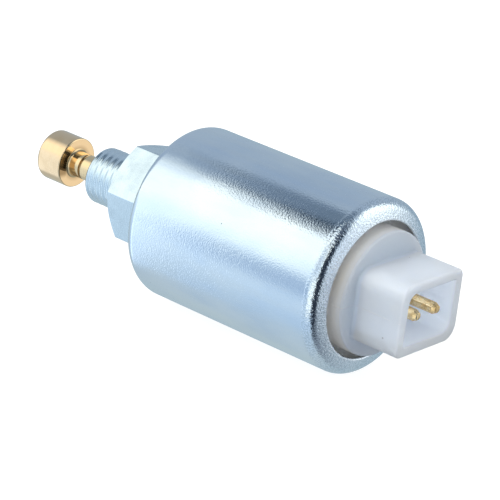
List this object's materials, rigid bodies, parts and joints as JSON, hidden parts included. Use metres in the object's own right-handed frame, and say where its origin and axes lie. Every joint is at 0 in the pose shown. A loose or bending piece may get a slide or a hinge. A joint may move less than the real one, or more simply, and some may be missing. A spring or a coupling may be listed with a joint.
{
  "type": "fuel shutoff solenoid",
  "caption": "Zinc-plated steel solenoid with a hexagon, a threaded stub, a brass valve tip on a sprung plunger, and a white moulded electrical connector.",
  "frame": {"origin": "on the axis, at the hexagon's sealing face, where the threaded stub rises", "axes": "+X along the axis towards the connector, +Z the connector's height, the stub and valve tip towards -X"},
  "size_m": [0.0672, 0.024, 0.024],
  "materials": {
    "zinc_plate": "bright zinc plate with a faint blue tone and fine grain",
    "white_nylon": "milky, slightly translucent nylon, satin",
    "pin_brass": "drawn brass, satin",
    "tip_brass": "turned brass, polished",
    "tube_brass": "drawn brass, satin",
    "bare_steel": "bare turned and stamped steel",
    "bobbin_plastic": "black glass-filled nylon, satin",
    "copper_wire": "enamelled copper wire",
    "polyester_film": "thin amber film",
    "black_rubber": "matt black rubber"
  },
  "bodies": {
    "solenoid_body": {"case": "zinc_plate", "hex_fitting": "zinc_plate", "connector_housing": "white_nylon", "terminal_pin_a": "pin_brass", "terminal_pin_b": "pin_brass", "return_spring": "bare_steel", "guide_tube": "tube_brass", "pole_core": "bare_steel", "stop_shim": "tube_brass", "bobbin": "bobbin_plastic", "winding": "copper_wire", "winding_tape": "polyester_film", "front_flux_plate": "bare_steel", "rear_flux_plate": "bare_steel", "wave_washer": "bare_steel", "front_o_ring": "black_rubber", "core_o_ring": "black_rubber", "case_seal": "black_rubber", "start_lead": "copper_wire", "finish_lead": "copper_wire"},
    "plunger_and_tip": {"plunger": "bare_steel", "valve_tip": "tip_brass"}
  },
  "joints": [
    {"name": "plunger_slide", "type": "slide", "parent": "solenoid_body", "child": "plunger_and_tip", "axis": [1, 0, 0], "range_m": [0, 0.003], "stiffness_N_per_m": 150, "springref_m": -0.004, "deforming": ["return_spring"]}
  ]
}
